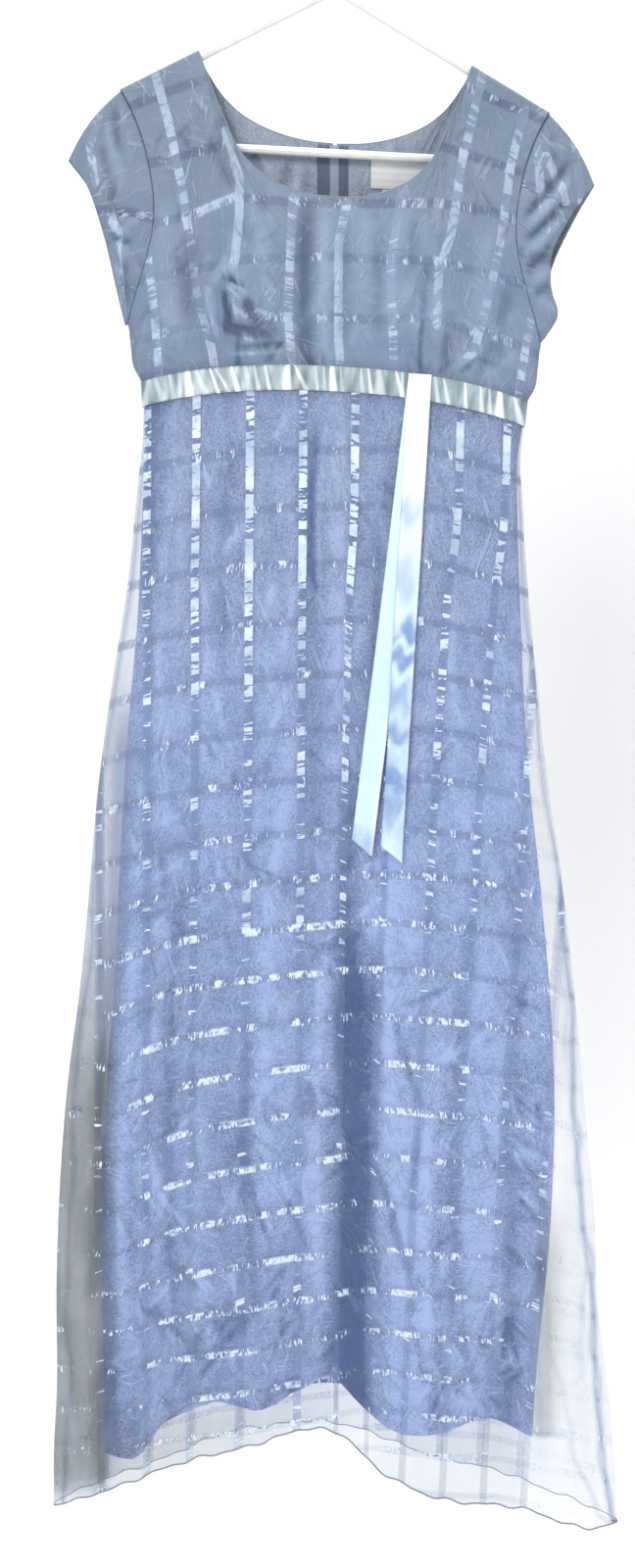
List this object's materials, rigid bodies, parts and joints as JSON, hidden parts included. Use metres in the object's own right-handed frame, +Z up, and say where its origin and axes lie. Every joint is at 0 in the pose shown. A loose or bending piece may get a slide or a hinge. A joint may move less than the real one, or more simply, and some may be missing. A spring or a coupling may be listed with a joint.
{
  "type": "maxi dress on a hanger",
  "caption": "Floor-length empire-line dress with cap sleeves, sheer windowpane overlay and a satin waist ribbon with hanging tails, on a tubular hanger.",
  "frame": {"origin": "inner top of the hanger's hook, where it rests on a rail", "axes": "+Z up, +X to the right as the front is seen, the front faces -Y"},
  "size_m": [0.6277, 0.0509, 1.648],
  "materials": {
    "bodice_cloth": "soft sheen",
    "sheer_cloth": "sheer",
    "lining_cloth": "crinkled",
    "satin": "satin",
    "zip_tape": "matte",
    "zip_chain": "matte",
    "zip_metal": "satin",
    "label": "matte",
    "hanger_plastic": "gloss"
  },
  "bodies": {
    "dress": {"bodice_front": "bodice_cloth", "bodice_back_left": "bodice_cloth", "bodice_back_right": "bodice_cloth", "sleeve_left": "bodice_cloth", "sleeve_right": "bodice_cloth", "skirt_front": "sheer_cloth", "skirt_back_left": "sheer_cloth", "skirt_back_right": "sheer_cloth", "lining_front": "lining_cloth", "lining_back_left": "lining_cloth", "lining_back_right": "lining_cloth", "ribbon_front": "satin", "ribbon_back_left": "satin", "ribbon_back_right": "satin", "ribbon_tail_behind": "satin", "ribbon_tail_front": "satin", "zip_tape": "zip_tape", "zip_chain": "zip_chain", "zip_slider": "zip_metal", "neck_label": "label", "care_label": "label", "hanger": "hanger_plastic"},
    "pull_tab": {"zip_pull": "zip_metal"}
  },
  "joints": [
    {"name": "pull_tab_hinge", "type": "hinge", "parent": "dress", "child": "pull_tab", "pos_m": [0, 0.01735, -0.217], "axis": [1, 0, 0], "range_deg": [0, 165]}
  ]
}
